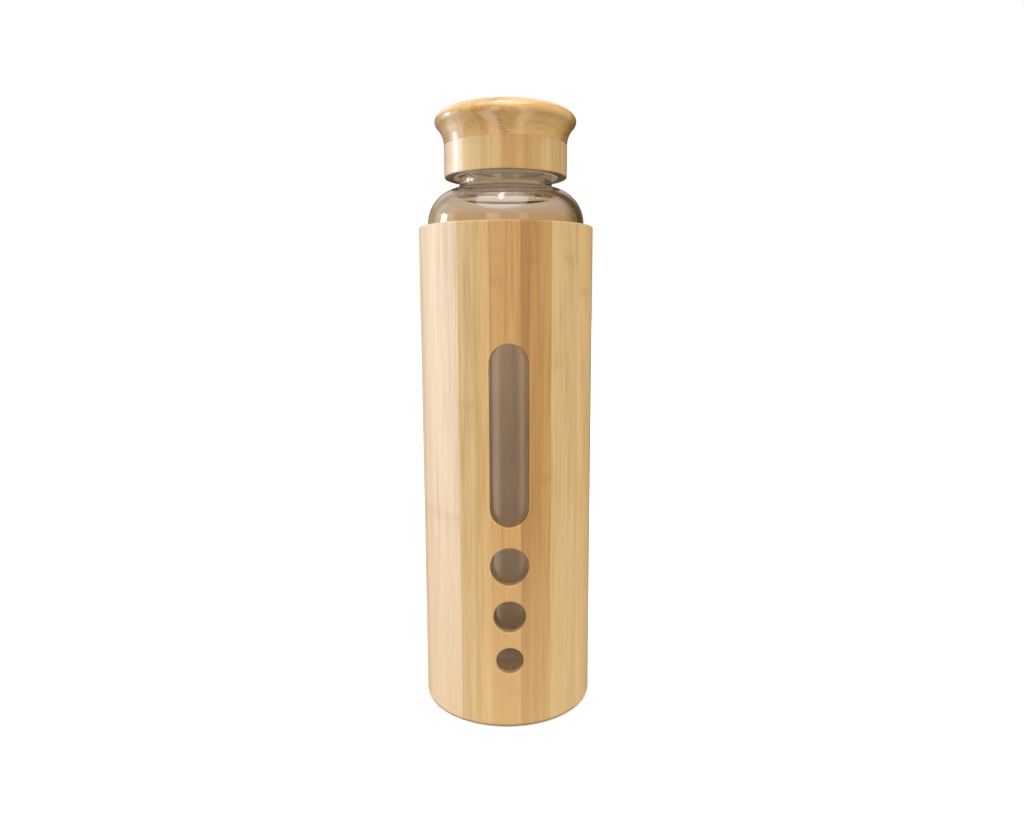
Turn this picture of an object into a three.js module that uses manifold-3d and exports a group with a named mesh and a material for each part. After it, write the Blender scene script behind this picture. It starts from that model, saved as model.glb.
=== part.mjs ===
// A glass water bottle that stands in a laminated bamboo sleeve and closes with a bamboo screw cap.
// Millimetres, +Z up. The origin is the middle of the sleeve's bottom face. The sleeve's window faces -Y.
import * as THREE from 'three';
import { mergeVertices } from 'three/addons/utils/BufferGeometryUtils.js';
import Module from 'manifold-3d';

const wasm = await Module();
wasm.setup();

// Clearances.
const seatGap = 0.3; // between pieces that touch or are glued
const threadGap = 0.35; // between the two threads, and from each thread to the wall it faces

// Sleeve.
const sleeveRadius = 35;
const sleeveHeight = 196.5;
const sleeveWall = 3;
const rimRound = 0.7;
const footRound = 1.8;
const windowWidth = 14.8;
const windowLength = 69.8;
const windowFoot = 81.8; // height of the window's lowest point
const portHoles = [
  { height: 66.1, radius: 7.45 },
  { height: 45.9, radius: 6.3 },
  { height: 27.9, radius: 5.3 },
];
const baseThickness = 5;
const baseChamfer = 0.5;
const cushionThickness = 2;
const cushionInset = 1.2; // from the sleeve's bore to the cushion's edge
const ringBelowRim = 9; // from the rim down to the middle of the silicone ring
const ringSection = 1.8;
const ringGrooveDepth = 1.2;

// Glass.
const bodyClearance = 0.7; // from the glass to the sleeve's bore
const bodyWall = 2.3;
const floorThickness = 4;
const puntDepth = 1.5;
const standWidth = 3.3; // from the punt to the heel
const heelRound = 5;
const shoulderAboveRim = 1.2; // from the sleeve's rim up to where the shoulder starts
const shoulderInset = 1.3; // from the neck's wall in to the centre of the shoulder's arc
const neckRadius = 18.5;
const neckWall = 2.7;
const neckFillet = 1.6;
const lipRound = 0.8;
const threadHeight = 0.9; // how far the glass thread stands out of the neck
const threadBead = 1.1; // radius of the glass thread's section
const threadPitch = 4;
const threadTurns = 1.35;
const threadFade = 0.12; // turns over which each end of a thread sinks into its wall
const buried = 0.1; // how far a thread's sunken end stays inside its wall
const threadAboveFillet = 3.7; // height of the thread's start over the foot of the neck
const lipLand = 1; // from the top of the thread's bead to the lip

// Cap.
const capOverFillet = 2.65; // height of the cap's bottom edge over the foot of the neck
const ringWall = 3.35;
const sealThickness = 1.6;
const sealWidth = 5;
const ceilingThickness = 1.3;
const linerWall = 1.1;
const linerBead = 0.9; // radius of the liner thread's section
const linerThreadLift = 1.6; // height of the liner thread's start over the liner's bottom edge
const capEdgeRound = 0.5;
const flareRound = 8.5;
const flareHeight = 5.9;
const brimRound = 4.3;
const crownRise = 0.6; // how far the top is domed

// Facets.
const sides = 48;
const facetSag = 0.08; // how far a facet may cut inside an outline's arc
const cutterSteps = 12; // to each half circle of the window and the holes
const beadSides = 8;
const beadStepsPerTurn = 32;

// Radii and arcs of the glass.
const sleeveBore = sleeveRadius - sleeveWall;
const bodyRadius = sleeveBore - bodyClearance;
const puntRadius = bodyRadius - heelRound - standWidth;
const shoulderAxis = neckRadius - shoulderInset;
const shoulderRound = bodyRadius - shoulderAxis;
const filletAxis = neckRadius + neckFillet;
const filletRise = Math.sqrt((shoulderRound + neckFillet) ** 2 - (filletAxis - shoulderAxis) ** 2);

// Heights: the glass counts its own from its standing ring, and the cap from its bottom edge.
const bottleFoot = baseThickness + cushionThickness + 2 * seatGap;
const bodyHeight = sleeveHeight + shoulderAboveRim - bottleFoot;
const neckFoot = bodyHeight + filletRise;
const threadRise = threadTurns * threadPitch;
const lipHeight = neckFoot + threadAboveFillet + threadRise + threadBead + lipLand;
const capOverFoot = neckFoot + capOverFillet;
const capFoot = bottleFoot + capOverFoot;
const sealLift = bottleFoot + lipHeight + seatGap;
const linerTop = sealLift + sealThickness + seatGap + ceilingThickness;
const ringHeight = linerTop - capFoot;

// Radii of the cap's parts, from the neck outwards.
const threadAxis = neckRadius + threadHeight - threadBead;
const threadCrest = neckRadius + threadHeight;
const beadReach = threadBead + linerBead + threadGap;
const besideThread = threadAxis + Math.sqrt(Math.max(0, beadReach ** 2 - (threadPitch / 2) ** 2));
const linerThreadAxis = Math.max(neckRadius + threadGap + linerBead, besideThread);
const linerBore = Math.max(threadCrest + threadGap, linerThreadAxis);
const linerRadius = linerBore + linerWall;
const ringBore = linerRadius + seatGap;
const ringRadius = ringBore + ringWall;

const closed = (geometry) => {
  geometry.deleteAttribute('normal');
  geometry.deleteAttribute('uv');
  const merged = mergeVertices(geometry, 1e-4);
  const corners = [];
  const index = merged.index.array;
  for (let i = 0; i < index.length; i += 3) {
    const [a, b, c] = index.slice(i, i + 3);
    if (a !== b && b !== c && c !== a) {
      corners.push(a, b, c);
    }
  }
  merged.setIndex(corners);
  return merged;
};

const solid = (geometry) => {
  const body = closed(geometry);
  const mesh = new wasm.Mesh({
    numProp: 3,
    vertProperties: Float32Array.from(body.attributes.position.array),
    triVerts: Uint32Array.from(body.index.array),
  });
  return new wasm.Manifold(mesh);
};

const surface = (manifold) => {
  const mesh = manifold.getMesh();
  const geometry = new THREE.BufferGeometry();
  geometry.setAttribute('position', new THREE.BufferAttribute(mesh.vertProperties, 3));
  geometry.setIndex(new THREE.BufferAttribute(mesh.triVerts, 1));
  return geometry;
};

const curveSteps = (curve) => {
  if (curve.isLineCurve) {
    return 1;
  }
  if (curve.isEllipseCurve) {
    const step = 2 * Math.acos(1 - facetSag / curve.xRadius);
    return Math.ceil(Math.abs(curve.aEndAngle - curve.aStartAngle) / step);
  }
  return 3;
};

// Turns an outline about Z. Its x is the radius and its y the height, and it runs anticlockwise.
const turned = (outline) => {
  const start = outline.curves[0].getPoint(0);
  const rest = outline.curves.flatMap((curve) => curve.getPoints(curveSteps(curve)).slice(1));
  const geometry = new THREE.LatheGeometry([start, ...rest], sides);
  geometry.rotateX(Math.PI / 2);
  return closed(geometry);
};

// A flat ring or tube with plain square edges.
const tube = (inner, outer, low, high) => {
  const outline = new THREE.Path();
  outline.moveTo(inner, low);
  outline.lineTo(outer, low);
  outline.lineTo(outer, high);
  outline.lineTo(inner, high);
  outline.lineTo(inner, low);
  return outline;
};

// A right-hand helix about Z whose angle is zero at height zero. Its two ends sink towards the wall.
class Helix extends THREE.Curve {
  constructor(radius, low, high, sink) {
    super();
    Object.assign(this, { radius, low, high, sink });
  }

  getPoint(t) {
    const height = THREE.MathUtils.lerp(this.low, this.high, t);
    const turnsToEnd = Math.min(t, 1 - t) * ((this.high - this.low) / threadPitch);
    const fade = 1 - THREE.MathUtils.smoothstep(turnsToEnd, 0, threadFade);
    const radius = this.radius + this.sink * fade;
    const angle = (2 * Math.PI * height) / threadPitch;
    return new THREE.Vector3(radius * Math.cos(angle), radius * Math.sin(angle), height);
  }
}

const helicalBead = (bead, helix) => {
  const section = new THREE.Shape();
  section.absarc(0, 0, bead, 0, 2 * Math.PI);
  const turns = (helix.high - helix.low) / threadPitch;
  return solid(new THREE.ExtrudeGeometry(section, {
    curveSegments: beadSides / 2,
    steps: Math.round(turns * beadStepsPerTurn),
    extrudePath: helix,
  }));
};

// A cutter that runs along -Y through the front wall of the sleeve only.
const frontCutter = (outline) => {
  const geometry = new THREE.ExtrudeGeometry(outline, {
    depth: sleeveRadius * 1.5,
    curveSegments: cutterSteps,
    bevelEnabled: false,
  });
  geometry.rotateX(Math.PI / 2);
  return solid(geometry);
};

const windowOutline = () => {
  const end = windowWidth / 2;
  const outline = new THREE.Shape();
  outline.absarc(0, windowFoot + end, end, Math.PI, 2 * Math.PI);
  outline.absarc(0, windowFoot + windowLength - end, end, 0, Math.PI);
  return outline;
};

const holeOutline = ({ height, radius }) => {
  const outline = new THREE.Shape();
  outline.absarc(0, height, radius, 0, 2 * Math.PI);
  return outline;
};

const ringGroove = () => {
  const middle = sleeveHeight - ringBelowRim;
  const half = ringSection / 2 + seatGap;
  return { low: middle - half, high: middle + half, radius: sleeveBore + ringGrooveDepth };
};

const makeSleeve = () => {
  const groove = ringGroove();
  const outline = new THREE.Path();
  outline.moveTo(sleeveBore, 0);
  outline.lineTo(sleeveRadius - footRound, 0);
  outline.absarc(sleeveRadius - footRound, footRound, footRound, -Math.PI / 2, 0);
  outline.absarc(sleeveRadius - rimRound, sleeveHeight - rimRound, rimRound, 0, Math.PI / 2);
  outline.absarc(sleeveBore + rimRound, sleeveHeight - rimRound, rimRound, Math.PI / 2, Math.PI);
  outline.lineTo(sleeveBore, groove.high);
  outline.lineTo(groove.radius, groove.high);
  outline.lineTo(groove.radius, groove.low);
  outline.lineTo(sleeveBore, groove.low);
  outline.lineTo(sleeveBore, 0);
  const cutters = [windowOutline(), ...portHoles.map(holeOutline)].map(frontCutter);
  return surface(cutters.reduce((wall, cutter) => wall.subtract(cutter), solid(turned(outline))));
};

const makeBase = () => {
  const radius = sleeveBore - seatGap;
  const outline = new THREE.Path();
  outline.moveTo(0, 0);
  outline.lineTo(radius - baseChamfer, 0);
  outline.lineTo(radius, baseChamfer);
  outline.lineTo(radius, baseThickness);
  outline.lineTo(0, baseThickness);
  return turned(outline);
};

const makeCushion = () => {
  const radius = sleeveBore - cushionInset;
  const edge = cushionThickness / 2;
  const outline = new THREE.Path();
  outline.moveTo(0, 0);
  outline.lineTo(radius - edge, 0);
  outline.absarc(radius - edge, edge, edge, -Math.PI / 2, Math.PI / 2);
  outline.lineTo(0, cushionThickness);
  return turned(outline);
};

// The silicone ring fills its groove and stands just clear of the glass.
const makeGripRing = () => {
  const groove = ringGroove();
  const inner = bodyRadius + seatGap;
  const outer = groove.radius - seatGap;
  return turned(tube(inner, outer, groove.low + seatGap, groove.high - seatGap));
};

const glassOutline = () => {
  const tilt = Math.atan2(filletRise, filletAxis - shoulderAxis);
  const inside = bodyRadius - bodyWall;
  const innerHeel = heelRound - bodyWall;
  const innerShoulder = shoulderRound - bodyWall;
  const bore = neckRadius - neckWall;
  const boreTilt = Math.acos((bore - shoulderAxis) / innerShoulder);
  const outline = new THREE.Path();
  outline.moveTo(0, puntDepth);
  outline.quadraticCurveTo(puntRadius, puntDepth, puntRadius, 0);
  outline.absarc(bodyRadius - heelRound, heelRound, heelRound, -Math.PI / 2, 0);
  outline.absarc(shoulderAxis, bodyHeight, shoulderRound, 0, tilt);
  outline.absarc(filletAxis, neckFoot, neckFillet, tilt + Math.PI, Math.PI, true);
  outline.absarc(neckRadius - lipRound, lipHeight - lipRound, lipRound, 0, Math.PI / 2);
  outline.absarc(bore + lipRound, lipHeight - lipRound, lipRound, Math.PI / 2, Math.PI);
  outline.absarc(shoulderAxis, bodyHeight, innerShoulder, boreTilt, 0, true);
  outline.absarc(inside - innerHeel, floorThickness + innerHeel, innerHeel, 0, -Math.PI / 2, true);
  outline.lineTo(0, floorThickness);
  return outline;
};

const makeBottle = () => {
  const start = neckFoot + threadAboveFillet;
  const helix = new Helix(threadAxis, start, start + threadRise, -threadHeight - buried);
  return surface(solid(turned(glassOutline())).add(helicalBead(threadBead, helix)));
};

// The liner's thread runs half a pitch above the glass thread, and its heights are over the cap's
// bottom edge.
const makeLiner = () => {
  const outline = new THREE.Path();
  const ceiling = ringHeight - ceilingThickness;
  outline.moveTo(0, ceiling);
  outline.lineTo(linerBore, ceiling);
  outline.lineTo(linerBore, 0);
  outline.lineTo(linerRadius, 0);
  outline.lineTo(linerRadius, ringHeight);
  outline.lineTo(0, ringHeight);
  const drop = capOverFoot - threadPitch / 2;
  const low = drop + linerThreadLift;
  const helix = new Helix(linerThreadAxis, low, low + threadRise, linerBead);
  const thread = helicalBead(linerBead, helix).translate([0, 0, -drop]);
  const skirt = solid(turned(tube(neckRadius, linerRadius - buried, 0, ceiling)));
  return surface(solid(turned(outline)).add(thread.intersect(skirt)));
};

const makeSeal = () => {
  const outer = linerBore - seatGap;
  return turned(tube(neckRadius - sealWidth, outer, 0, sealThickness));
};

const makeCapRing = () => {
  const outline = new THREE.Path();
  outline.moveTo(ringBore, 0);
  outline.lineTo(ringRadius - capEdgeRound, 0);
  outline.absarc(ringRadius - capEdgeRound, capEdgeRound, capEdgeRound, -Math.PI / 2, 0);
  outline.lineTo(ringRadius, ringHeight);
  outline.lineTo(ringBore, ringHeight);
  outline.lineTo(ringBore, 0);
  return turned(outline);
};

// The disc leaves the ring straight, flares out in a hollow curve, and rolls over a full brim to
// a slightly domed top.
const makeCapTop = () => {
  const flareAxis = ringRadius + flareRound;
  const flareTilt = Math.asin(flareHeight / flareRound);
  const flareEnd = flareAxis - flareRound * Math.cos(flareTilt);
  const brimAxis = flareEnd - brimRound * Math.cos(flareTilt);
  const brimHeight = flareHeight + brimRound * Math.sin(flareTilt);
  const top = brimHeight + brimRound;
  const outline = new THREE.Path();
  outline.moveTo(0, 0);
  outline.lineTo(ringRadius, 0);
  outline.absarc(flareAxis, 0, flareRound, Math.PI, Math.PI - flareTilt, true);
  outline.absarc(brimAxis, brimHeight, brimRound, -flareTilt, Math.PI / 2);
  outline.quadraticCurveTo(brimAxis / 2, top + crownRise, 0, top + crownRise);
  return turned(outline);
};

const bamboo = { roughness: 0.45, metalness: 0 };
const finishes = {
  sleeveBamboo: { color: 0xd2aa6e, ...bamboo },
  baseBamboo: { color: 0xc39a5c, ...bamboo },
  ringBamboo: { color: 0xd6b076, ...bamboo },
  topBamboo: { color: 0xc99e63, ...bamboo },
  glass: { color: 0xdfe6e2, roughness: 0.02, metalness: 0, transparent: true, opacity: 0.35 },
  linerPlastic: { color: 0xe9e4da, roughness: 0.4, metalness: 0 },
  sealSilicone: { color: 0xf2f0ea, roughness: 0.6, metalness: 0 },
  cushionSilicone: { color: 0xe4e2dc, roughness: 0.6, metalness: 0 },
  gripSilicone: { color: 0xdedad0, roughness: 0.6, metalness: 0 },
};

const piece = (name, geometry, finish, height = 0) => {
  const mesh = new THREE.Mesh(geometry, new THREE.MeshStandardMaterial(finishes[finish]));
  mesh.name = name;
  mesh.position.z = height;
  return mesh;
};

const sleeve = new THREE.Group();
sleeve.add(
  piece('sleeve_tube', makeSleeve(), 'sleeveBamboo'),
  piece('sleeve_base', makeBase(), 'baseBamboo'),
  piece('base_cushion', makeCushion(), 'cushionSilicone', baseThickness + seatGap),
  piece('grip_ring', makeGripRing(), 'gripSilicone'),
);

const cap = new THREE.Group();
cap.position.z = capFoot;
cap.add(
  piece('cap_liner', makeLiner(), 'linerPlastic'),
  piece('cap_ring', makeCapRing(), 'ringBamboo'),
  piece('cap_top', makeCapTop(), 'topBamboo', ringHeight + seatGap),
);

const bottle = new THREE.Group();
bottle.add(
  sleeve,
  piece('glass_bottle', makeBottle(), 'glass', bottleFoot),
  piece('cap_seal', makeSeal(), 'sealSilicone', sealLift),
  cap,
);

export default bottle;
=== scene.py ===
# The looks of a glass bottle in a laminated bamboo sleeve with a bamboo screw cap.
# Metres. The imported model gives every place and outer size, and the constants below give
# the walls, rounds and threads inside those sizes.
import math

import bmesh
import bpy
from mathutils import Matrix, Vector
from mathutils.geometry import delaunay_2d_cdt


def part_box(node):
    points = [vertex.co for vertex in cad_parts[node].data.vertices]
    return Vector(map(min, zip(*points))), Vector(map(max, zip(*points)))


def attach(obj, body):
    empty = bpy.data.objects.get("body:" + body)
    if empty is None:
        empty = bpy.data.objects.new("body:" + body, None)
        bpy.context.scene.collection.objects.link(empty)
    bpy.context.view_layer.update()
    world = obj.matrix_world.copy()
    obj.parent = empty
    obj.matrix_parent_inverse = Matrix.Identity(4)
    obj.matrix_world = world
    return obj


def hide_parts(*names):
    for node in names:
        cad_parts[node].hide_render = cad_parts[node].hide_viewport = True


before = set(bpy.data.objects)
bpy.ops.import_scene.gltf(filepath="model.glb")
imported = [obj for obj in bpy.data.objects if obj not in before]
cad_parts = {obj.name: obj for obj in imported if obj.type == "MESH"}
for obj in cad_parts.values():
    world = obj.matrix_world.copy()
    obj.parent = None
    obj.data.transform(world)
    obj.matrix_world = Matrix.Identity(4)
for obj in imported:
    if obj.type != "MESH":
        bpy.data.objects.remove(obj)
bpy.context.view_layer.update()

MM = 0.001
TAU = 2 * math.pi

# Sleeve.
SLEEVE_WALL = 3.0 * MM
RIM_ROUND = 0.7 * MM
FOOT_ROUND = 1.8 * MM
HOLE_ROUND = 0.35 * MM
WINDOW_WIDTH = 14.8 * MM
WINDOW_LENGTH = 69.8 * MM
WINDOW_FOOT = 81.8 * MM
HOLES = [(66.1 * MM, 7.45 * MM), (45.9 * MM, 6.3 * MM), (27.9 * MM, 5.3 * MM)]  # height, radius
GROOVE_DEPTH = 1.2 * MM
GLUE_LINE = 0.02 * MM
SEAT_GAP = 0.3 * MM
BASE_EDGE = 0.25 * MM
CUSHION_GROOVE = 0.45 * MM
CUSHION_GROOVE_RADII = (24 * MM, 18 * MM, 12 * MM, 6 * MM)
GRIP_EDGE = 0.3 * MM

# Glass.
GLASS_WALL = 2.3 * MM
GLASS_FLOOR = 4.0 * MM
PUNT_DEPTH = 1.5 * MM
PUNT_RADIUS = 23.0 * MM
HEEL_ROUND = 5.0 * MM
NECK_RADIUS = 18.5 * MM
NECK_WALL = 2.7 * MM
NECK_FILLET = 1.6 * MM
SHOULDER_INSET = 1.3 * MM
SHOULDER_ABOVE_RIM = 1.2 * MM
LIP_ROUND = 0.8 * MM
THREAD_HEIGHT = 0.9 * MM
THREAD_HALF_WIDTH = 1.15 * MM
THREAD_PITCH = 4.0 * MM
THREAD_TURNS = 1.35
THREAD_ABOVE_FILLET = 3.7 * MM
THREAD_FADE = 0.12  # turns
THREAD_FULLNESS = 0.7  # the power that rounds a thread's section: less is fuller

# Cap.
LINER_WALL = 1.1 * MM
LINER_CEILING = 1.3 * MM
LINER_THREAD_HEIGHT = 0.95 * MM
LINER_THREAD_LIFT = 1.6 * MM
LINER_THREAD_HALF_WIDTH = 0.9 * MM
LINER_EDGE = 0.3 * MM
LINER_CORNER = 0.8 * MM
CAP_EDGE_ROUND = 0.5 * MM
CAP_BORE_CHAMFER = 0.2 * MM
CAP_SHARP_EDGE = 0.04 * MM  # both sides of the glue line
FLARE_TURN = 44.0  # degrees
BRIM_ROUND = 2.35 * MM
DOME_WIDTH = 9.0 * MM
DOME_STEPS = 24
SEAL_WIDTH = 5.0 * MM
SEAL_ROUND = 0.4 * MM

# Meshes.
STEPS = 192  # facets round every turned piece
SKIN_COLUMNS = 180  # facets round the sleeve's two skins
SKIN_ROWS = 56
SIDE_STEP = 3 * MM  # along the window's straight sides
MESH_CLEARANCE = 0.5 * MM  # no grid point of a skin is nearer to an opening's edge
SAME_PLACE = 1e-7
ON_WALL = 0.01 * MM  # how near a radius counts as being on a threaded wall


# Outlines: lists of (radius, height), anticlockwise, so that the faces look outwards.


def arc(centre, radius, start, end, step=5.0):
    """Points on an arc, with start and end in degrees."""
    count = max(2, round(abs(end - start) / step))
    angles = [math.radians(start + (end - start) * i / count) for i in range(count + 1)]
    return [(centre[0] + radius * math.cos(a), centre[1] + radius * math.sin(a)) for a in angles]


def straight(start, end, count):
    """Points strictly between start and end."""
    shares = [i / count for i in range(1, count)]
    return [tuple(a + (b - a) * s for a, b in zip(start, end)) for s in shares]


def rounded_band(inner, outer, low, high, rounding):
    """A ring's section with four round corners."""
    points = arc((outer - rounding, low + rounding), rounding, -90, 0, 15)
    points += arc((outer - rounding, high - rounding), rounding, 0, 90, 15)
    points += arc((inner + rounding, high - rounding), rounding, 90, 180, 15)
    points += arc((inner + rounding, low + rounding), rounding, 180, 270, 15)
    return points + points[:1]


# Meshes.


def new_object(name, bm):
    bmesh.ops.remove_doubles(bm, verts=bm.verts, dist=SAME_PLACE)
    mesh = bpy.data.meshes.new(name)
    bm.to_mesh(mesh)
    bm.free()
    mesh.shade_smooth()
    obj = bpy.data.objects.new(name, mesh)
    bpy.context.scene.collection.objects.link(obj)
    even = obj.modifiers.new("even_shading", "WEIGHTED_NORMAL")
    even.weight = 50
    return obj


def turned(name, outline, swell=None):
    """Turns an outline about Z. swell(angle, radius, height) is added to each radius."""
    bm = bmesh.new()
    rings = []
    for radius, height in outline:
        if radius < SAME_PLACE:
            rings.append([bm.verts.new((0, 0, height))] * STEPS)
            continue
        ring = []
        for i in range(STEPS):
            angle = TAU * i / STEPS
            full = radius + (swell(angle, radius, height) if swell else 0.0)
            ring.append(bm.verts.new((full * math.cos(angle), full * math.sin(angle), height)))
        rings.append(ring)
    for low, high in zip(rings, rings[1:]):
        for i in range(STEPS):
            j = (i + 1) % STEPS
            corners = dict.fromkeys((low[i], low[j], high[j], high[i]))
            bm.faces.new(list(corners))
    return new_object(name, bm)


def helix_swell(axis_height, low, high, amount, side, half_width=THREAD_HALF_WIDTH):
    """A rounded thread for turned(). It is at axis_height where the angle is zero, and side
    says which radii it grows from."""

    def swell(angle, radius, height):
        if not side(radius):
            return 0.0
        at_angle = axis_height + THREAD_PITCH * angle / TAU
        nearest = at_angle + THREAD_PITCH * round((height - at_angle) / THREAD_PITCH)
        ends = min(nearest - low, high - nearest) / THREAD_PITCH
        if ends <= 0:
            return 0.0
        off = abs(height - nearest) / half_width
        if off >= 1:
            return 0.0
        fade = min(1.0, ends / THREAD_FADE)
        return amount * (1 - off**2) ** THREAD_FULLNESS * fade * fade * (3 - 2 * fade)

    return swell


# Sleeve.


def hole_outline(foot, top, half, grow):
    """A round-ended slot in the plane X-Z, grown outwards. foot and top are its end centres."""
    radius = half + grow
    ends = arc((0, top), radius, 0, 180) + arc((0, foot), radius, 180, 360)
    rise = top - foot
    if rise < 1e-9:
        return [p for i, p in enumerate(ends) if i not in (0, len(ends) // 2)]
    count = max(2, round(rise / SIDE_STEP))
    left = straight((-radius, top), (-radius, foot), count)
    right = straight((radius, foot), (radius, top), count)
    half_way = len(ends) // 2
    return ends[:half_way] + left + ends[half_way:] + right


def sleeve_openings():
    half = WINDOW_WIDTH / 2
    window = (WINDOW_FOOT + half, WINDOW_FOOT + WINDOW_LENGTH - half, half)
    return [window] + [(height, height, radius) for height, radius in HOLES]


def wrapped(bm, x, z, radius, inward=0.0):
    """A vertex on the front wall at (x, z), pushed inwards along Y."""
    return bm.verts.new((x, inward - math.sqrt(radius * radius - x * x), z))


def wall_with_openings(bm, radius, low, high, grow, outward):
    """One skin of the tube, open at each hole. Returns each hole's loop of vertices."""
    columns, rows = SKIN_COLUMNS, SKIN_ROWS
    points = []
    for j in range(rows + 1):
        height = low + (high - low) * j / rows
        points += [Vector((radius * TAU * (i / columns - 0.5), height)) for i in range(columns + 1)]
    width = columns + 1
    border = [i for i in range(width)] + [j * width + columns for j in range(1, rows + 1)]
    border += [rows * width + i for i in range(columns - 1, -1, -1)]
    border += [j * width for j in range(rows - 1, 0, -1)]
    edges = list(zip(border, border[1:] + border[:1]))
    loops = []
    kept = set(border)
    keep = [True] * len(points)
    for foot, top, half in sleeve_openings():
        clear = half + grow + MESH_CLEARANCE
        for k, p in enumerate(points):
            if k in kept or abs(p.x) > 2 * half:
                continue
            nearest = min(max(p.y, foot), top)
            if math.hypot(radius * math.sin(p.x / radius), p.y - nearest) < clear:
                keep[k] = False
    index = {}
    used = []
    for k, p in enumerate(points):
        if keep[k]:
            index[k] = len(used)
            used.append(p)
    edges = [(index[a], index[b]) for a, b in edges]
    for foot, top, half in sleeve_openings():
        ring = hole_outline(foot, top, half, grow)
        start = len(used)
        used += [Vector((radius * math.asin(x / radius), z)) for x, z in ring]
        loop = list(range(start, len(used)))
        edges += list(zip(loop, loop[1:] + loop[:1]))
        loops.append(loop)
    verts2d, _, faces, origin, _, _ = delaunay_2d_cdt(used, edges, [], 0, SAME_PLACE)
    verts = []
    for p in verts2d:
        angle = p.x / radius
        verts.append(bm.verts.new((radius * math.sin(angle), -radius * math.cos(angle), p.y)))
    for face in faces:
        centre = sum((verts2d[k] for k in face), Vector((0, 0))) / len(face)
        if in_opening(centre, radius, grow):
            continue
        corners = [verts[k] for k in face]
        bm.faces.new(corners if outward else corners[::-1])
    found = {}
    for new, old in enumerate(origin):
        for k in old:
            found[k] = verts[new]
    return [[found[k] for k in loop] for loop in loops]


def in_opening(point, radius, grow):
    x = radius * math.sin(point.x / radius)
    if abs(point.x) > radius:
        return False
    for foot, top, half in sleeve_openings():
        nearest = min(max(point.y, foot), top)
        if math.hypot(x, point.y - nearest) < half + grow:
            return True
    return False


def bridge(bm, first, second):
    """Quads between two loops of equal length. They look to the right of the loops' direction."""
    count = len(first)
    for i in range(count):
        j = (i + 1) % count
        bm.faces.new((first[i], first[j], second[j], second[i]))


def opening_walls(bm, outer_loops, inner_loops, outer, inner):
    """Joins the two skins through each hole, with round edges on both."""
    quarter = [math.radians(a) for a in (22.5, 45, 67.5, 90)]
    for hole, outer_loop, inner_loop in zip(sleeve_openings(), outer_loops, inner_loops):
        last = outer_loop
        for a in quarter:
            grow, depth = HOLE_ROUND * (1 - math.sin(a)), HOLE_ROUND * (1 - math.cos(a))
            ring = [wrapped(bm, x, z, outer, depth) for x, z in hole_outline(*hole, grow)]
            bridge(bm, last, ring)
            last = ring
        for a in reversed(quarter):
            grow, depth = HOLE_ROUND * (1 - math.sin(a)), HOLE_ROUND * (1 - math.cos(a))
            ring = [wrapped(bm, x, z, inner, -depth) for x, z in hole_outline(*hole, grow)]
            bridge(bm, last, ring)
            last = ring
        bridge(bm, last, inner_loop)


def sleeve_ends(bm, outline):
    """Turned strips for the rim, the foot and the groove, on the skins' own columns."""
    for (r0, z0), (r1, z1) in zip(outline, outline[1:]):
        for i in range(SKIN_COLUMNS):
            a0, a1 = TAU * (i / SKIN_COLUMNS - 0.5), TAU * ((i + 1) / SKIN_COLUMNS - 0.5)
            corners = [(r0, z0, a0), (r0, z0, a1), (r1, z1, a1), (r1, z1, a0)]
            face = [bm.verts.new((r * math.sin(a), -r * math.cos(a), z)) for r, z, a in corners]
            bm.faces.new(face)


def make_sleeve():
    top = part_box("sleeve_tube")[1]
    outer, height = top.x, top.z
    inner = outer - SLEEVE_WALL
    grip_low, grip_high = (corner.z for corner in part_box("grip_ring"))
    groove = (grip_low - SEAT_GAP, grip_high + SEAT_GAP, inner + GROOVE_DEPTH)
    skin_low, skin_high = FOOT_ROUND, height - RIM_ROUND
    bm = bmesh.new()
    outer_loops = wall_with_openings(bm, outer, skin_low, skin_high, HOLE_ROUND, True)
    inner_loops = wall_with_openings(bm, inner, skin_low, groove[0], HOLE_ROUND, False)
    opening_walls(bm, outer_loops, inner_loops, outer, inner)
    rim = arc((outer - RIM_ROUND, skin_high), RIM_ROUND, 0, 90, 10)
    rim += arc((inner + RIM_ROUND, skin_high), RIM_ROUND, 90, 180, 10)
    rim += [(inner, groove[1]), (groove[2], groove[1]), (groove[2], groove[0]), (inner, groove[0])]
    foot = [(inner, skin_low), (inner, 0)]
    foot += arc((outer - FOOT_ROUND, FOOT_ROUND), FOOT_ROUND, -90, 0, 10)
    sleeve_ends(bm, rim)
    sleeve_ends(bm, foot)
    return new_object("bamboo_sleeve", bm)


def make_base():
    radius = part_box("sleeve_tube")[1].x - SLEEVE_WALL - GLUE_LINE
    low, high = (corner.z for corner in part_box("sleeve_base"))
    edge = BASE_EDGE
    outline = [(0, low)] + arc((radius - edge, low + edge), edge, -90, 0, 15)
    outline += arc((radius - edge, high - edge), edge, 0, 90, 15) + [(0, high)]
    return turned("bamboo_base", outline)


def make_cushion():
    low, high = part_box("base_cushion")
    edge = (high.z - low.z) / 2
    outline = [(0, low.z)] + arc((high.x - edge, low.z + edge), edge, -90, 90, 10)
    for radius in CUSHION_GROOVE_RADII:
        outline += arc((radius, high.z), CUSHION_GROOVE, 0, -180, 20)
    return turned("silicone_cushion", outline + [(0, high.z)])


def make_grip():
    low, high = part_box("grip_ring")
    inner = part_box("glass_bottle")[1].x + SEAT_GAP
    middle, half = (low.z + high.z) / 2, (high.z - low.z) / 2
    outline = arc((high.x - GRIP_EDGE, low.z + GRIP_EDGE), GRIP_EDGE, -90, 0, 15)
    outline += arc((high.x - GRIP_EDGE, high.z - GRIP_EDGE), GRIP_EDGE, 0, 90, 15)
    outline += arc((inner + half, middle), half, 90, 270, 10)
    return turned("silicone_grip", outline + outline[:1])


# Glass.


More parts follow.
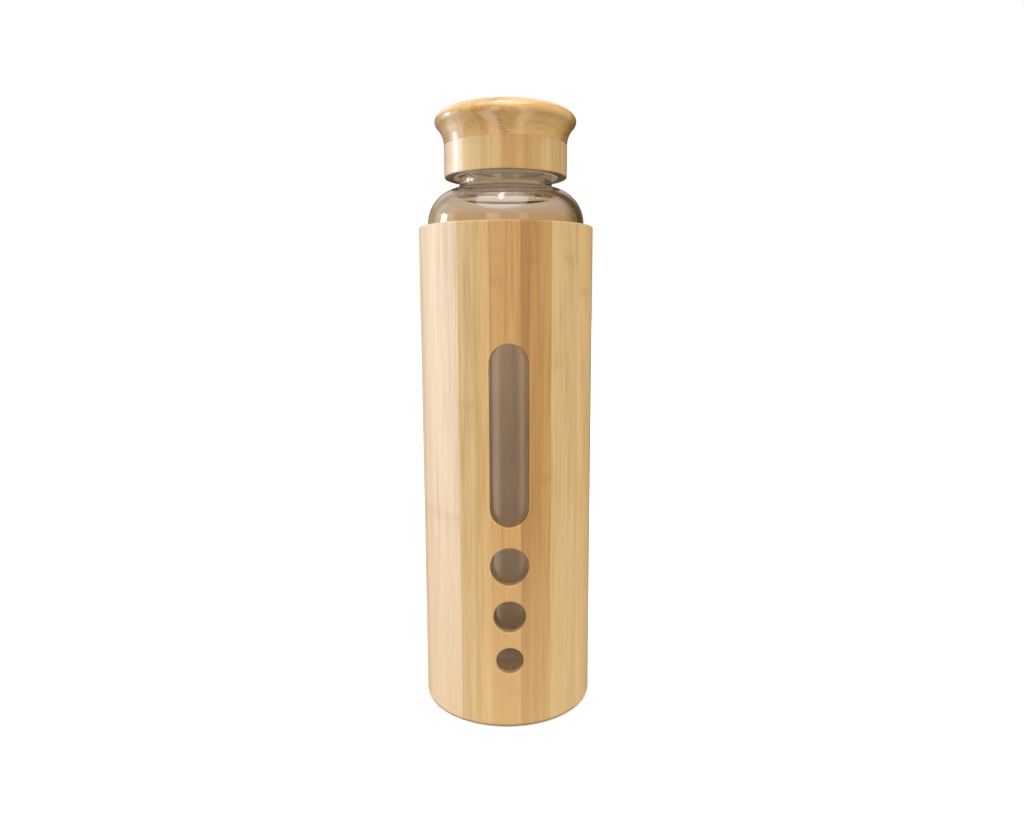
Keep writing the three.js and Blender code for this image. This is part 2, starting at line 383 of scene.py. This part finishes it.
def make_glass():
    low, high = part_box("glass_bottle")
    foot, lip, body = low.z, high.z, high.x
    shoulder_axis = NECK_RADIUS - SHOULDER_INSET
    shoulder_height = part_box("sleeve_tube")[1].z + SHOULDER_ABOVE_RIM
    shoulder = body - shoulder_axis
    fillet_axis = NECK_RADIUS + NECK_FILLET
    across, reach = fillet_axis - shoulder_axis, shoulder + NECK_FILLET
    neck_foot = shoulder_height + math.sqrt(reach**2 - across**2)
    tilt = math.degrees(math.acos(across / reach))
    bore = NECK_RADIUS - NECK_WALL
    inner_shoulder = shoulder - GLASS_WALL
    inner_fillet = NECK_FILLET + NECK_WALL
    inner_across, inner_reach = bore + inner_fillet - shoulder_axis, inner_shoulder + inner_fillet
    inner_foot = shoulder_height + math.sqrt(inner_reach**2 - inner_across**2)
    inner_tilt = math.degrees(math.acos(inner_across / inner_reach))
    floor = foot + GLASS_FLOOR
    heel = HEEL_ROUND - GLASS_WALL
    inside = body - GLASS_WALL
    outline = []
    for i in range(11):
        rise = PUNT_DEPTH * math.cos(math.pi / 2 * (i / 10) ** 2)
        outline.append((PUNT_RADIUS * i / 10, foot + rise))
    outline += arc((body - HEEL_ROUND, foot + HEEL_ROUND), HEEL_ROUND, -90, 0)
    outline += straight((body, foot + HEEL_ROUND), (body, shoulder_height), 8)
    outline += arc((shoulder_axis, shoulder_height), shoulder, 0, tilt, 2.5)
    outline += arc((fillet_axis, neck_foot), NECK_FILLET, tilt + 180, 180)
    outline += straight((NECK_RADIUS, neck_foot), (NECK_RADIUS, lip - LIP_ROUND), 80)
    outline += arc((NECK_RADIUS - LIP_ROUND, lip - LIP_ROUND), LIP_ROUND, 0, 90, 10)
    outline += arc((bore + LIP_ROUND, lip - LIP_ROUND), LIP_ROUND, 90, 180, 10)
    outline += arc((bore + inner_fillet, inner_foot), inner_fillet, 180, 180 + inner_tilt, 2.5)
    outline += arc((shoulder_axis, shoulder_height), inner_shoulder, inner_tilt, 0, 2.5)
    outline += straight((inside, shoulder_height), (inside, floor + heel), 8)
    outline += arc((inside - heel, floor + heel), heel, 0, -90) + [(0, floor)]
    start = neck_foot + THREAD_ABOVE_FILLET
    thread = helix_swell(
        foot, start, start + THREAD_TURNS * THREAD_PITCH, THREAD_HEIGHT,
        lambda radius: abs(radius - NECK_RADIUS) < ON_WALL,
    )
    return turned("glass_body", outline, thread)


# Cap.


def make_liner():
    low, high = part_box("cap_liner")
    bottom, top, outer = low.z, high.z, high.x
    bore = outer - LINER_WALL
    ceiling = top - LINER_CEILING
    edge, corner = LINER_EDGE, LINER_CORNER
    outline = [(0, ceiling)] + arc((bore - corner, ceiling - corner), corner, 90, 0, 10)
    outline += straight((bore, ceiling - corner), (bore, bottom + edge), 80)
    outline += arc((bore + edge, bottom + edge), edge, 180, 270, 15)
    outline += arc((outer - edge, bottom + edge), edge, -90, 0, 15)
    outline += arc((outer - edge, top - edge), edge, 0, 90, 15) + [(0, top)]
    start = bottom + LINER_THREAD_LIFT
    half_pitch_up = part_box("glass_bottle")[0].z + THREAD_PITCH / 2
    thread = helix_swell(
        half_pitch_up, start, start + THREAD_TURNS * THREAD_PITCH, -LINER_THREAD_HEIGHT,
        lambda radius: abs(radius - bore) < ON_WALL, LINER_THREAD_HALF_WIDTH,
    )
    return turned("cap_thread_liner", outline, thread)


def make_seal():
    low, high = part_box("cap_seal")
    band = rounded_band(NECK_RADIUS - SEAL_WIDTH, high.x, low.z, high.z, SEAL_ROUND)
    return turned("silicone_seal", band)


def glue_height():
    """The middle of the gap between the cap's ring and its top."""
    return (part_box("cap_ring")[1].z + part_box("cap_top")[0].z) / 2


def make_cap_ring():
    low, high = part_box("cap_ring")
    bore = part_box("cap_liner")[1].x + SEAT_GAP
    top = glue_height() - GLUE_LINE / 2
    sharp = CAP_SHARP_EDGE
    outline = [(bore, low.z + CAP_BORE_CHAMFER), (bore + CAP_BORE_CHAMFER, low.z)]
    outline += arc((high.x - CAP_EDGE_ROUND, low.z + CAP_EDGE_ROUND), CAP_EDGE_ROUND, -90, 0, 10)
    outline += straight((high.x, low.z + CAP_EDGE_ROUND), (high.x, top - sharp), 6)
    outline += arc((high.x - sharp, top - sharp), sharp, 0, 90, 30) + [(bore, top)]
    return turned("bamboo_cap_ring", outline + outline[:1])


def make_cap_top():
    low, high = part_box("cap_top")
    straight_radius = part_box("cap_ring")[1].x
    bottom = glue_height() + GLUE_LINE / 2
    sharp = CAP_SHARP_EDGE
    turn = math.radians(FLARE_TURN)
    flare = (high.x - straight_radius) / (1 - math.cos(turn)) - BRIM_ROUND
    widest = low.z + (flare + BRIM_ROUND) * math.sin(turn)
    rise = high.z - widest
    outline = [(0, bottom)] + arc((straight_radius - sharp, bottom + sharp), sharp, -90, 0, 30)
    outline += arc((straight_radius + flare, low.z), flare, 180, 180 - FLARE_TURN, 3)
    outline += arc((high.x - BRIM_ROUND, widest), BRIM_ROUND, -FLARE_TURN, 0, 5)
    for i in range(1, DOME_STEPS + 1):
        a = math.radians(90 * i / DOME_STEPS)
        outline.append((high.x - DOME_WIDTH * (1 - math.cos(a)), widest + rise * math.sin(a)))
    inner = high.x - DOME_WIDTH
    outline += [(inner * (1 - i / 6), high.z) for i in range(1, 7)]
    return turned("bamboo_cap_top", outline)


# Materials.


class Nodes:
    """Short calls for building a node tree."""

    def __init__(self, tree):
        self.tree = tree

    def node(self, kind, **settings):
        made = self.tree.nodes.new("ShaderNode" + kind)
        for key, value in settings.items():
            setattr(made, key, value)
        return made

    def feed(self, socket, value):
        if isinstance(value, bpy.types.NodeSocket):
            self.tree.links.new(value, socket)
        else:
            socket.default_value = value

    def math(self, operation, *values):
        made = self.node("Math", operation=operation)
        for socket, value in zip(made.inputs, values):
            self.feed(socket, value)
        return made.outputs[0]

    def dot(self, vector, axis):
        made = self.node("VectorMath", operation="DOT_PRODUCT")
        self.feed(made.inputs[0], vector)
        self.feed(made.inputs[1], axis)
        return made.outputs["Value"]

    def join(self, x, y, z):
        made = self.node("CombineXYZ")
        for socket, value in zip(made.inputs, (x, y, z)):
            self.feed(socket, value)
        return made.outputs[0]

    def noise(self, vector, scale=1.0, detail=2.0, roughness=0.5):
        made = self.node("TexNoise")
        self.feed(made.inputs["Vector"], vector)
        made.inputs["Scale"].default_value = scale
        made.inputs["Detail"].default_value = detail
        made.inputs["Roughness"].default_value = roughness
        return made.outputs["Fac"]

    def white(self, value):
        made = self.node("TexWhiteNoise", noise_dimensions="1D")
        self.feed(made.inputs["W"], value)
        return made.outputs["Value"]

    def ramp(self, value, stops, interpolation="LINEAR"):
        made = self.node("ValToRGB")
        made.color_ramp.interpolation = interpolation
        elements = made.color_ramp.elements
        while len(elements) < len(stops):
            elements.new(1.0)
        for element, (position, colour) in zip(elements, stops):
            element.position = position
            element.color = (*colour, 1)
        self.feed(made.inputs[0], value)
        return made.outputs[0]

    def span(self, value, low, high, to_low=0.0, to_high=1.0):
        made = self.node("MapRange", clamp=True)
        for socket, given in zip(made.inputs, (value, low, high, to_low, to_high)):
            self.feed(socket, given)
        return made.outputs[0]

    def mix(self, share, first, second, blend="MIX"):
        made = self.node("Mix", data_type="RGBA", blend_type=blend)
        self.feed(made.inputs["Factor"], share)
        for socket, value in ((made.inputs[6], first), (made.inputs[7], second)):
            self.feed(socket, (*value, 1) if isinstance(value, tuple) else value)
        return made.outputs[2]

    def either_shader(self, share, first, second):
        made = self.node("MixShader")
        for socket, value in zip(made.inputs, (share, first, second)):
            self.feed(socket, value)
        return made.outputs[0]


class Finish(Nodes):
    """A material, with its Principled shader."""

    def __init__(self, name):
        self.material = bpy.data.materials.new(name)
        self.material.use_nodes = True
        super().__init__(self.material.node_tree)
        self.shader = self.tree.nodes["Principled BSDF"]
        self.place = self.node("TexCoord").outputs["Object"]

    def set(self, **values):
        for name, value in values.items():
            socket = "IOR" if name == "ior" else name.replace("_", " ").title()
            self.feed(self.shader.inputs[socket], value)

    def bump(self, height, strength, distance):
        made = self.node("Bump")
        made.inputs["Strength"].default_value = strength
        made.inputs["Distance"].default_value = distance
        self.feed(made.inputs["Height"], height)
        self.feed(self.shader.inputs["Normal"], made.outputs[0])

    def let_light_through(self, tint):
        """Lamps and bounced light pass with a tint, where Cycles would leave the inside dark."""
        clear = self.node("BsdfTransparent")
        clear.inputs["Color"].default_value = tint
        rays = self.node("LightPath").outputs
        passing = self.math("MAXIMUM", rays["Is Shadow Ray"], rays["Is Diffuse Ray"])
        both = self.either_shader(passing, self.shader.outputs[0], clear.outputs[0])
        self.feed(self.tree.nodes["Material Output"].inputs["Surface"], both)


def turned_axes(degrees):
    """Two flat axes turned about Z: along the boards' stacking, and across it."""
    a = math.radians(degrees)
    return (math.cos(a), math.sin(a), 0), (-math.sin(a), math.cos(a), 0)


BOARD_HASH = (12.9, 78.2, 37.7)  # turns a board's colour into its random number
NODE_HALF_WIDTH = 3.2 * MM
STREAK_SHADES = [(0.0, (1.0, 1.0, 1.0)), (0.3, (0.93, 0.91, 0.87)), (1.0, (0.60, 0.48, 0.33))]
END_GRAIN_SHADES = ((0.50, 0.42, 0.34), (0.74, 0.68, 0.60))
PORE_BROWN = (0.20, 0.10, 0.035)
CUT_FACE_SHADE = (0.52, 0.43, 0.33)
BARE_BAMBOO = (0.66, 0.54, 0.42)
# Painted floor bounce: the pale tan that the sleeve turns towards near its foot, and the height
# where it fades out.
PAINTED_FLOOR_BOUNCE = (0.66, 0.455, 0.215)
PAINTED_BOUNCE_BELOW = 95 * MM


def bamboo(name, stack, depth, grain, boards, reach, node_gap, seed, mirrored=True,
           speckled=None, contrast=1.0):
    """Laminated bamboo. boards are (share of the way across, colour), stacked along one axis,
    and their fibres run along grain. reach is the half width that the boards span. A node of
    the culm crosses each board about every node_gap. speckled is (where, half width) of one
    band of dark pores, in mm across. contrast is how strongly the fibres streak."""
    n = Finish(name)
    axes = (stack, depth, grain)
    across, into, along = (n.math("MULTIPLY", n.dot(n.place, axis), 1 / MM) for axis in axes)

    # Which board, and a random number for each board on each side.
    behind = n.math("GREATER_THAN", into, 0.0)
    side = n.math("SUBTRACT", 1.0, n.math("MULTIPLY", behind, 2.0 if mirrored else 0.0))
    share = n.span(n.math("MULTIPLY", across, side), -reach / MM, reach / MM)
    board = n.ramp(share, boards, "CONSTANT")
    luck = n.white(n.math("ADD", n.dot(board, BOARD_HASH), n.math("MULTIPLY", side, seed)))
    layer = n.math("ADD", into, n.math("MULTIPLY", luck, 50.0))

    def grainy(where, stretch, *noise):
        """Noise drawn out along the fibres by 1 / stretch."""
        return n.noise(n.join(where, layer, n.math("MULTIPLY", along, stretch)), *noise)

    # Fibres that wander slowly, fine hairs in them, and clouds of light and dark.
    slow = grainy(n.math("MULTIPLY", across, 0.06), 0.012, 0.5)
    wander = n.math("MULTIPLY", n.math("SUBTRACT", slow, 0.5), 1.1)
    woven = n.math("ADD", across, wander)
    fibre = grainy(woven, 0.025, 1.2, 3.0, 0.6)
    hair = grainy(woven, 0.03, 5.5, 2.0, 0.55)
    cloud = grainy(n.math("MULTIPLY", woven, 0.5), 0.04, 0.3, 1.0)

    # Nodes: a narrow, slightly bent, darker and speckled stripe across the board.
    node_at = n.math("ADD", n.math("DIVIDE", along, node_gap / MM), n.math("MULTIPLY", luck, 7.0))
    bend = n.math("MULTIPLY", n.math("SUBTRACT", fibre, 0.5), 0.02)
    cycle = n.math("FRACT", n.math("ADD", node_at, bend))
    from_node = n.math("ABSOLUTE", n.math("SUBTRACT", cycle, 0.5))
    at_node = n.span(from_node, 0.0, NODE_HALF_WIDTH / node_gap, 1.0, 0.0)
    speck = n.span(grainy(woven, 0.35, 3.4, 2.0, 0.6), 0.52, 0.66)
    speck_dark = n.math("ADD", 0.08, n.math("MULTIPLY", speck, 0.4))
    node_dark = n.math("MULTIPLY", at_node, speck_dark)

    fibre_dark = n.span(fibre, 0.25, 0.75, -0.30, 0.34)
    streak = n.math("ADD", fibre_dark, n.span(hair, 0.56, 0.7, 0.0, 0.18))
    streak = n.math("ADD", streak, n.span(cloud, 0.3, 0.7, -0.14, 0.14))
    streak = n.math("ADD", n.math("MULTIPLY", streak, contrast), n.math("ADD", node_dark, 0.3))
    shade = n.ramp(streak, STREAK_SHADES)
    wood = n.mix(1.0, board, shade, "MULTIPLY")
    if speckled:
        where, half = speckled
        off = n.math("ABSOLUTE", n.math("SUBTRACT", woven, where))
        pores = n.span(n.noise(n.join(across, into, along), 1.5, 2.0, 0.7), 0.50, 0.60)
        pores = n.math("MULTIPLY", pores, n.span(off, half * 0.4, half, 0.85, 0.0))
        wood = n.mix(pores, wood, PORE_BROWN)

    # End grain is darker, with pores.
    normal = n.node("NewGeometry").outputs["True Normal"]
    facing_grain = n.math("ABSOLUTE", n.dot(normal, grain))
    cut = n.noise(n.join(n.math("MULTIPLY", across, 1.0), into, 0.0), 3.0, 2.0)
    pore = n.span(cut, 0.4, 0.6, 0.75, 1.0)
    end = n.mix(1.0, wood, n.mix(pore, *END_GRAIN_SHADES), "MULTIPLY")
    n.colour = n.mix(n.span(facing_grain, 0.9, 0.995), wood, end)
    n.set(base_color=n.colour)
    relief = n.math("SUBTRACT", n.math("MULTIPLY", hair, 0.6), n.math("MULTIPLY", node_dark, 0.5))
    n.bump(relief, 0.25, 0.05 * MM)
    return n


# Each board: (share of the way across where it starts, colour).
# The first board of the sleeve and of the ring is paler bamboo with a painted sheen in it: the
# pinkish white of the lamps on the left.
PALE_BOARD_WITH_PAINTED_SHEEN = (0.74, 0.60, 0.44)
BROWN = (0.385, 0.198, 0.054)
SLEEVE_BOARDS = [
    (0.0, PALE_BOARD_WITH_PAINTED_SHEEN), (0.229, (0.62, 0.435, 0.222)), (0.31, (0.58, 0.385, 0.162)),
    (0.397, (0.50, 0.29, 0.102)), (0.475, (0.535, 0.31, 0.103)), (0.56, BROWN),
    (0.61, (0.45, 0.245, 0.072)), (0.665, (0.50, 0.292, 0.096)), (0.73, (0.60, 0.425, 0.205)),
    (0.80, (0.61, 0.425, 0.195)), (0.886, (0.70, 0.48, 0.222)),
]
# The ring's first board is the paler bamboo with the painted sheen of the left lamps.
RING_BOARDS = [
    (0.0, PALE_BOARD_WITH_PAINTED_SHEEN), (0.16, (0.68, 0.50, 0.26)), (0.29, (0.60, 0.425, 0.185)),
    (0.37, (0.53, 0.345, 0.132)), (0.46, (0.51, 0.30, 0.105)), (0.53, (0.50, 0.295, 0.10)),
    (0.58, (0.54, 0.32, 0.113)), (0.68, (0.56, 0.36, 0.145)), (0.76, (0.62, 0.43, 0.20)),
    (0.83, (0.58, 0.375, 0.165)), (0.93, (0.68, 0.47, 0.225)),
]
TOP_BOARDS = [
    (0.0, (0.66, 0.41, 0.16)), (0.12, (0.61, 0.355, 0.118)), (0.26, (0.66, 0.41, 0.155)),
    (0.40, (0.68, 0.45, 0.195)), (0.50, (0.72, 0.545, 0.345)), (0.59, (0.68, 0.45, 0.195)),
    (0.66, (0.66, 0.42, 0.162)), (0.76, (0.60, 0.345, 0.112)), (0.82, (0.56, 0.31, 0.094)),
    (0.867, (0.61, 0.36, 0.12)), (0.915, (0.68, 0.43, 0.17)),
]


def sleeve_bamboo():
    """Darker where the openings cut the wall, bare and pale inside, and paler towards the foot with
    painted light bounced from the floor.
    """
    stack, depth = turned_axes(0)
    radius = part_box("sleeve_tube")[1].x
    bore = radius - SLEEVE_WALL
    n = bamboo("sleeve_bamboo", stack, depth, (0, 0, 1), SLEEVE_BOARDS, radius, 210 * MM, 3.1)
    flat = n.join(n.dot(n.place, (1, 0, 0)), n.dot(n.place, (0, 1, 0)), 0.0)
    length = n.node("VectorMath", operation="LENGTH")
    n.feed(length.inputs[0], flat)
    from_axis = length.outputs["Value"]
    sunk = n.span(from_axis, radius - 0.35 * MM, radius - 0.1 * MM, 1.0, 0.0)
    in_wall = n.math("MULTIPLY", sunk, n.span(from_axis, bore, bore + 0.2 * MM))
    shaded = n.mix(1.0, n.colour, CUT_FACE_SHADE, "MULTIPLY")
    bare = n.span(from_axis, bore + 0.05 * MM, bore + 0.15 * MM, 0.7, 0.0)
    # Painted light: the wood turns paler towards the foot, standing in for light bounced up from
    # the floor.
    painted_bounce = n.span(n.dot(n.place, (0, 0, 1)), 0.0, PAINTED_BOUNCE_BELOW, 0.42, 0.0)
    with_painted_bounce = n.mix(painted_bounce, n.mix(in_wall, n.colour, shaded), PAINTED_FLOOR_BOUNCE)
    n.set(base_color=n.mix(bare, with_painted_bounce, BARE_BAMBOO))
    n.set(roughness=0.45, coat_weight=0.15, coat_roughness=0.35)
    return n.material


def base_bamboo():
    stack, grain = turned_axes(0)
    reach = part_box("sleeve_tube")[1].x
    up = (0, 0, 1)
    n = bamboo("base_bamboo", stack, up, grain, SLEEVE_BOARDS, reach, 120 * MM, 9.4, False)
    n.set(roughness=0.5)
    return n.material


def ring_bamboo():
    stack, depth = turned_axes(0)
    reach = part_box("cap_ring")[1].x
    up = (0, 0, 1)
    n = bamboo("ring_bamboo", stack, depth, up, RING_BOARDS, reach, 150 * MM, 5.7, contrast=0.6)
    n.set(roughness=0.34, coat_weight=0.5, coat_roughness=0.12)
    return n.material


def top_bamboo():
    """Boards and fibres lie flat, turned from the ring's, with one band of dark pores."""
    stack, grain = turned_axes(-60)
    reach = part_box("cap_top")[1].x
    up = (0, 0, 1)
    n = bamboo(
        "top_bamboo", stack, up, grain, TOP_BOARDS, reach, 46 * MM, 1.3, False, (20.7, 1.1), 0.75
    )
    n.set(roughness=0.34, coat_weight=1.0, coat_roughness=0.1)
    return n.material


def clear_glass():
    n = Finish("bottle_glass")
    ripple = n.noise(n.place, 22.0, 1.0)
    n.set(base_color=(0.985, 0.98, 0.965, 1), ior=1.47, transmission_weight=1.0)
    n.set(roughness=n.span(ripple, 0.62, 0.8, 0.0, 0.03))
    n.let_light_through((0.93, 0.90, 0.86, 1))
    return n.material


def scatter(n, weight, radii):
    """Light that spreads under the surface. radii are in mm for red, green and blue."""
    n.set(subsurface_weight=weight)
    n.shader.inputs["Subsurface Radius"].default_value = tuple(r * MM for r in radii)
    n.shader.inputs["Subsurface Scale"].default_value = 1.0


def liner_plastic():
    n = Finish("liner_plastic")
    mottle = n.noise(n.place, 160.0, 3.0)
    n.set(base_color=n.mix(mottle, (0.86, 0.79, 0.71), (0.91, 0.85, 0.78)))
    n.set(roughness=n.span(mottle, 0.3, 0.7, 0.32, 0.42))
    scatter(n, 0.4, (1.5, 1.4, 1.2))
    n.bump(mottle, 0.1, 0.02 * MM)
    return n.material


def silicone(name, tint):
    n = Finish(name)
    grain = n.noise(n.place, 900.0, 2.0)
    n.set(base_color=n.mix(grain, tint, tuple(c * 1.06 for c in tint)))
    n.set(roughness=n.span(grain, 0.3, 0.7, 0.5, 0.62))
    scatter(n, 0.25, (1.2, 1.1, 1.0))
    n.bump(grain, 0.15, 0.02 * MM)
    return n.material


CUSHION_TINT = (0.40, 0.29, 0.17)
GRIP_TINT = (0.70, 0.67, 0.60)
SEAL_TINT = (0.80, 0.79, 0.75)

# Placing.


def place_piece(obj, material, body, node):
    obj.data.materials.append(material)
    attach(obj, body)
    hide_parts(node)


def place_pieces():
    cushion = silicone("cushion_silicone", CUSHION_TINT)
    grip = silicone("grip_silicone", GRIP_TINT)
    seal = silicone("seal_silicone", SEAL_TINT)
    place_piece(make_sleeve(), sleeve_bamboo(), "sleeve", "sleeve_tube")
    place_piece(make_base(), base_bamboo(), "sleeve", "sleeve_base")
    place_piece(make_cushion(), cushion, "sleeve", "base_cushion")
    place_piece(make_grip(), grip, "sleeve", "grip_ring")
    place_piece(make_glass(), clear_glass(), "bottle", "glass_bottle")
    place_piece(make_seal(), seal, "seal", "cap_seal")
    place_piece(make_liner(), liner_plastic(), "cap", "cap_liner")
    place_piece(make_cap_ring(), ring_bamboo(), "cap", "cap_ring")
    place_piece(make_cap_top(), top_bamboo(), "cap", "cap_top")


# Studio.


FLOOR_RADIUS = 6.0


def make_floor():
    bm = bmesh.new()
    bmesh.ops.create_circle(bm, cap_ends=True, segments=96, radius=FLOOR_RADIUS)
    floor = new_object("floor", bm)
    n = Finish("floor_paper")
    tooth = n.noise(n.place, 300.0, 2.0)
    n.set(base_color=n.mix(tooth, (0.88, 0.88, 0.87), (0.90, 0.90, 0.89)), roughness=0.8)
    floor.data.materials.append(n.material)
    # It shows to the camera only, so that it puts no edge or glare in glass and gloss.
    floor.visible_glossy = floor.visible_transmission = floor.visible_diffuse = False


def facing(azimuth, elevation):
    """The unit vector towards a light. azimuth is from the front towards +X."""
    a, e = math.radians(azimuth), math.radians(elevation)
    return Vector((math.sin(a) * math.cos(e), -math.cos(a) * math.cos(e), math.sin(e)))


def add_light(data, away, place=(0, 0, 0)):
    """Puts a light at place, looking against away."""
    light = bpy.data.objects.new(data.name, data)
    light.location = place
    light.rotation_mode = "QUATERNION"
    light.rotation_quaternion = away.to_track_quat("Z", "Y")
    bpy.context.scene.collection.objects.link(light)
    return light


def area_light(name, azimuth, elevation, distance, size, watts, colour, target=0.13, seen=True):
    """A soft box that looks at the axis at the height target. One that is not seen lights the
    bottle but shows in no reflection."""
    data = bpy.data.lights.new(name, "AREA")
    data.shape = "RECTANGLE"
    data.size, data.size_y = size
    data.energy = watts
    data.color = colour
    away = facing(azimuth, elevation)
    light = add_light(data, away, Vector((0, 0, target)) + away * distance)
    light.visible_glossy = light.visible_transmission = seen


# World colours, as (share from -X to +X, colour).
SEEN_THROUGH_GLASS = [
    (0.0, (0.42, 0.33, 0.24)), (0.30, (0.34, 0.26, 0.18)), (0.40, (0.56, 0.45, 0.35)),
    (0.60, (0.55, 0.44, 0.34)), (0.67, (0.13, 0.085, 0.04)), (0.86, (0.11, 0.07, 0.03)),
    (1.0, (0.42, 0.33, 0.24)),
]
SEEN_LOW_THROUGH_GLASS = [
    (0.0, (0.28, 0.20, 0.12)), (0.40, (0.56, 0.345, 0.175)), (0.60, (0.54, 0.325, 0.16)),
    (0.67, (0.11, 0.07, 0.03)),
]
SEEN_TO_THE_FRONT = (0.46, 0.38, 0.30)
DARK, HAZE = (0.013, 0.009, 0.006), (0.087, 0.087, 0.08)
DIM, LEFT_BAND = (0.08, 0.067, 0.053), (1.0, 0.88, 0.76)
FRONT_BANDS = [
    (0.0, DIM), (0.24, DIM), (0.27, LEFT_BAND), (0.37, LEFT_BAND), (0.43, HAZE), (0.62, HAZE),
    (0.67, (0.62, 0.53, 0.44)), (0.73, (0.6, 0.5, 0.4)), (0.77, DARK),
]
FAR_SIDE = [(0.0, (0.67, 0.59, 0.53)), (0.3, (0.33, 0.28, 0.24)), (0.5, DARK)]
FAR_BACK_SHADE = (0.3, 0.28, 0.26)
CEILING_PALE = (0.293, 0.253, 0.233)
CEILING = [(0.0, (0.147, 0.12, 0.10)), (0.3, CEILING_PALE), (0.62, CEILING_PALE), (0.72, DARK)]
# As (share from straight down to straight up, colour).
EVEN_LIGHT = [(0.0, (0.34, 0.32, 0.30)), (0.5, (0.66, 0.65, 0.64)), (1.0, (0.98, 0.97, 0.96))]


def make_world():
    """White to the camera and an even light on matt surfaces. Through glass there is a beige
    room with a dark stretch on the right, plain towards the front. Gloss shows a dim room with
    a pale ceiling and a brighter stretch on each side of the front."""
    world = bpy.data.worlds.new("studio")
    world.use_nodes = True
    bpy.context.scene.world = world
    n = Nodes(world.node_tree)
    rays = n.node("LightPath").outputs
    direction = n.node("TexCoord").outputs["Generated"]
    sideways = n.span(n.dot(direction, (1, 0, 0)), -1.0, 1.0)
    depth = n.dot(direction, (0, 1, 0))
    height = n.dot(direction, (0, 0, 1))

    def background(colour, strength=1.0):
        made = n.node("Background")
        made.inputs["Strength"].default_value = strength
        n.feed(made.inputs["Color"], (*colour, 1) if isinstance(colour, tuple) else colour)
        return made.outputs[0]

    low, level = n.ramp(sideways, SEEN_LOW_THROUGH_GLASS), n.ramp(sideways, SEEN_THROUGH_GLASS)
    behind = n.mix(n.span(height, 0.16, 0.26), low, level)
    behind = n.mix(n.span(depth, -0.3, 0.0, 1.0, 0.0), behind, SEEN_TO_THE_FRONT)

    far_side = n.ramp(sideways, FAR_SIDE)
    far_back = n.mix(1.0, far_side, FAR_BACK_SHADE, "MULTIPLY")
    far_side = n.mix(n.span(depth, 0.35, 0.6), far_side, far_back)
    walls = n.mix(n.span(depth, -0.16, -0.08), n.ramp(sideways, FRONT_BANDS), far_side)
    gloss = n.mix(n.span(height, 0.26, 0.36), walls, n.ramp(sideways, CEILING))

    even = n.ramp(n.span(height, -1.0, 1.0), EVEN_LIGHT)
    light = n.either_shader(
        rays["Is Transmission Ray"], background(gloss, 3.3), background(behind)
    )
    light = n.either_shader(rays["Is Diffuse Ray"], light, background(even, 1.3))
    light = n.either_shader(rays["Is Camera Ray"], light, background((1.0, 1.0, 1.0)))
    n.feed(world.node_tree.nodes["World Output"].inputs[0], light)


def sunlight(azimuth, elevation, strength, spread, colour):
    data = bpy.data.lights.new("skylight", "SUN")
    data.energy, data.angle, data.color = strength, math.radians(spread), colour
    add_light(data, facing(azimuth, elevation))


def make_camera():
    distance, height = 311.9 * MM, 167.3 * MM
    azimuth, pitch, yaw, roll = -1.4, 8.21, -0.41, -0.2
    data = bpy.data.cameras.new("camera")
    data.lens = 26.43
    data.sensor_width = 36.0
    data.clip_start = 0.01
    camera = bpy.data.objects.new("camera", data)
    a = math.radians(azimuth)
    matrix = Matrix.Translation((distance * math.sin(a), -distance * math.cos(a), height))
    for degrees, axis in ((azimuth + yaw, "Z"), (90 - pitch, "X"), (roll, "Z")):
        matrix = matrix @ Matrix.Rotation(math.radians(degrees), 4, axis)
    camera.matrix_world = matrix
    bpy.context.scene.collection.objects.link(camera)
    bpy.context.scene.camera = camera


def light_inside():
    """Weak hidden lamps on the axis, for the light that a real bottle gathers inside."""
    for height in (35, 80, 125, 170):
        data = bpy.data.lights.new("inside", "POINT")
        data.energy, data.color, data.shadow_soft_size = 0.0068, (1.0, 0.95, 0.9), 8 * MM
        light = bpy.data.objects.new("inside", data)
        light.location = (0, 0, height * MM)
        light.visible_camera = light.visible_glossy = light.visible_transmission = False
        bpy.context.scene.collection.objects.link(light)


def make_studio():
    """area_light takes azimuth and elevation in degrees, then distance and size in metres."""
    make_floor()
    make_world()
    sunlight(-12, 64, 1.9, 60, (1.0, 0.985, 0.97))
    area_light("key", -104, 10, 0.9, (0.9, 0.9), 1.1, (1.0, 0.96, 0.95))
    area_light("low", 30, 8, 0.42, (0.3, 0.06), 0.3, (1.0, 0.98, 0.95), 0.0, False)
    area_light("window", -105, 12, 0.9, (0.14, 0.3), 1.2, (1.0, 0.97, 0.95))
    area_light("fill", 100, 10, 1.0, (0.3, 0.8), 1.5, (1.0, 0.97, 0.93), seen=False)
    area_light("overhead", -20, 78, 0.7, (0.05, 0.16), 0.35, (1.0, 0.98, 0.95))
    light_inside()
    bpy.context.scene.view_settings.view_transform = "Standard"


make_camera()
make_studio()
place_pieces()
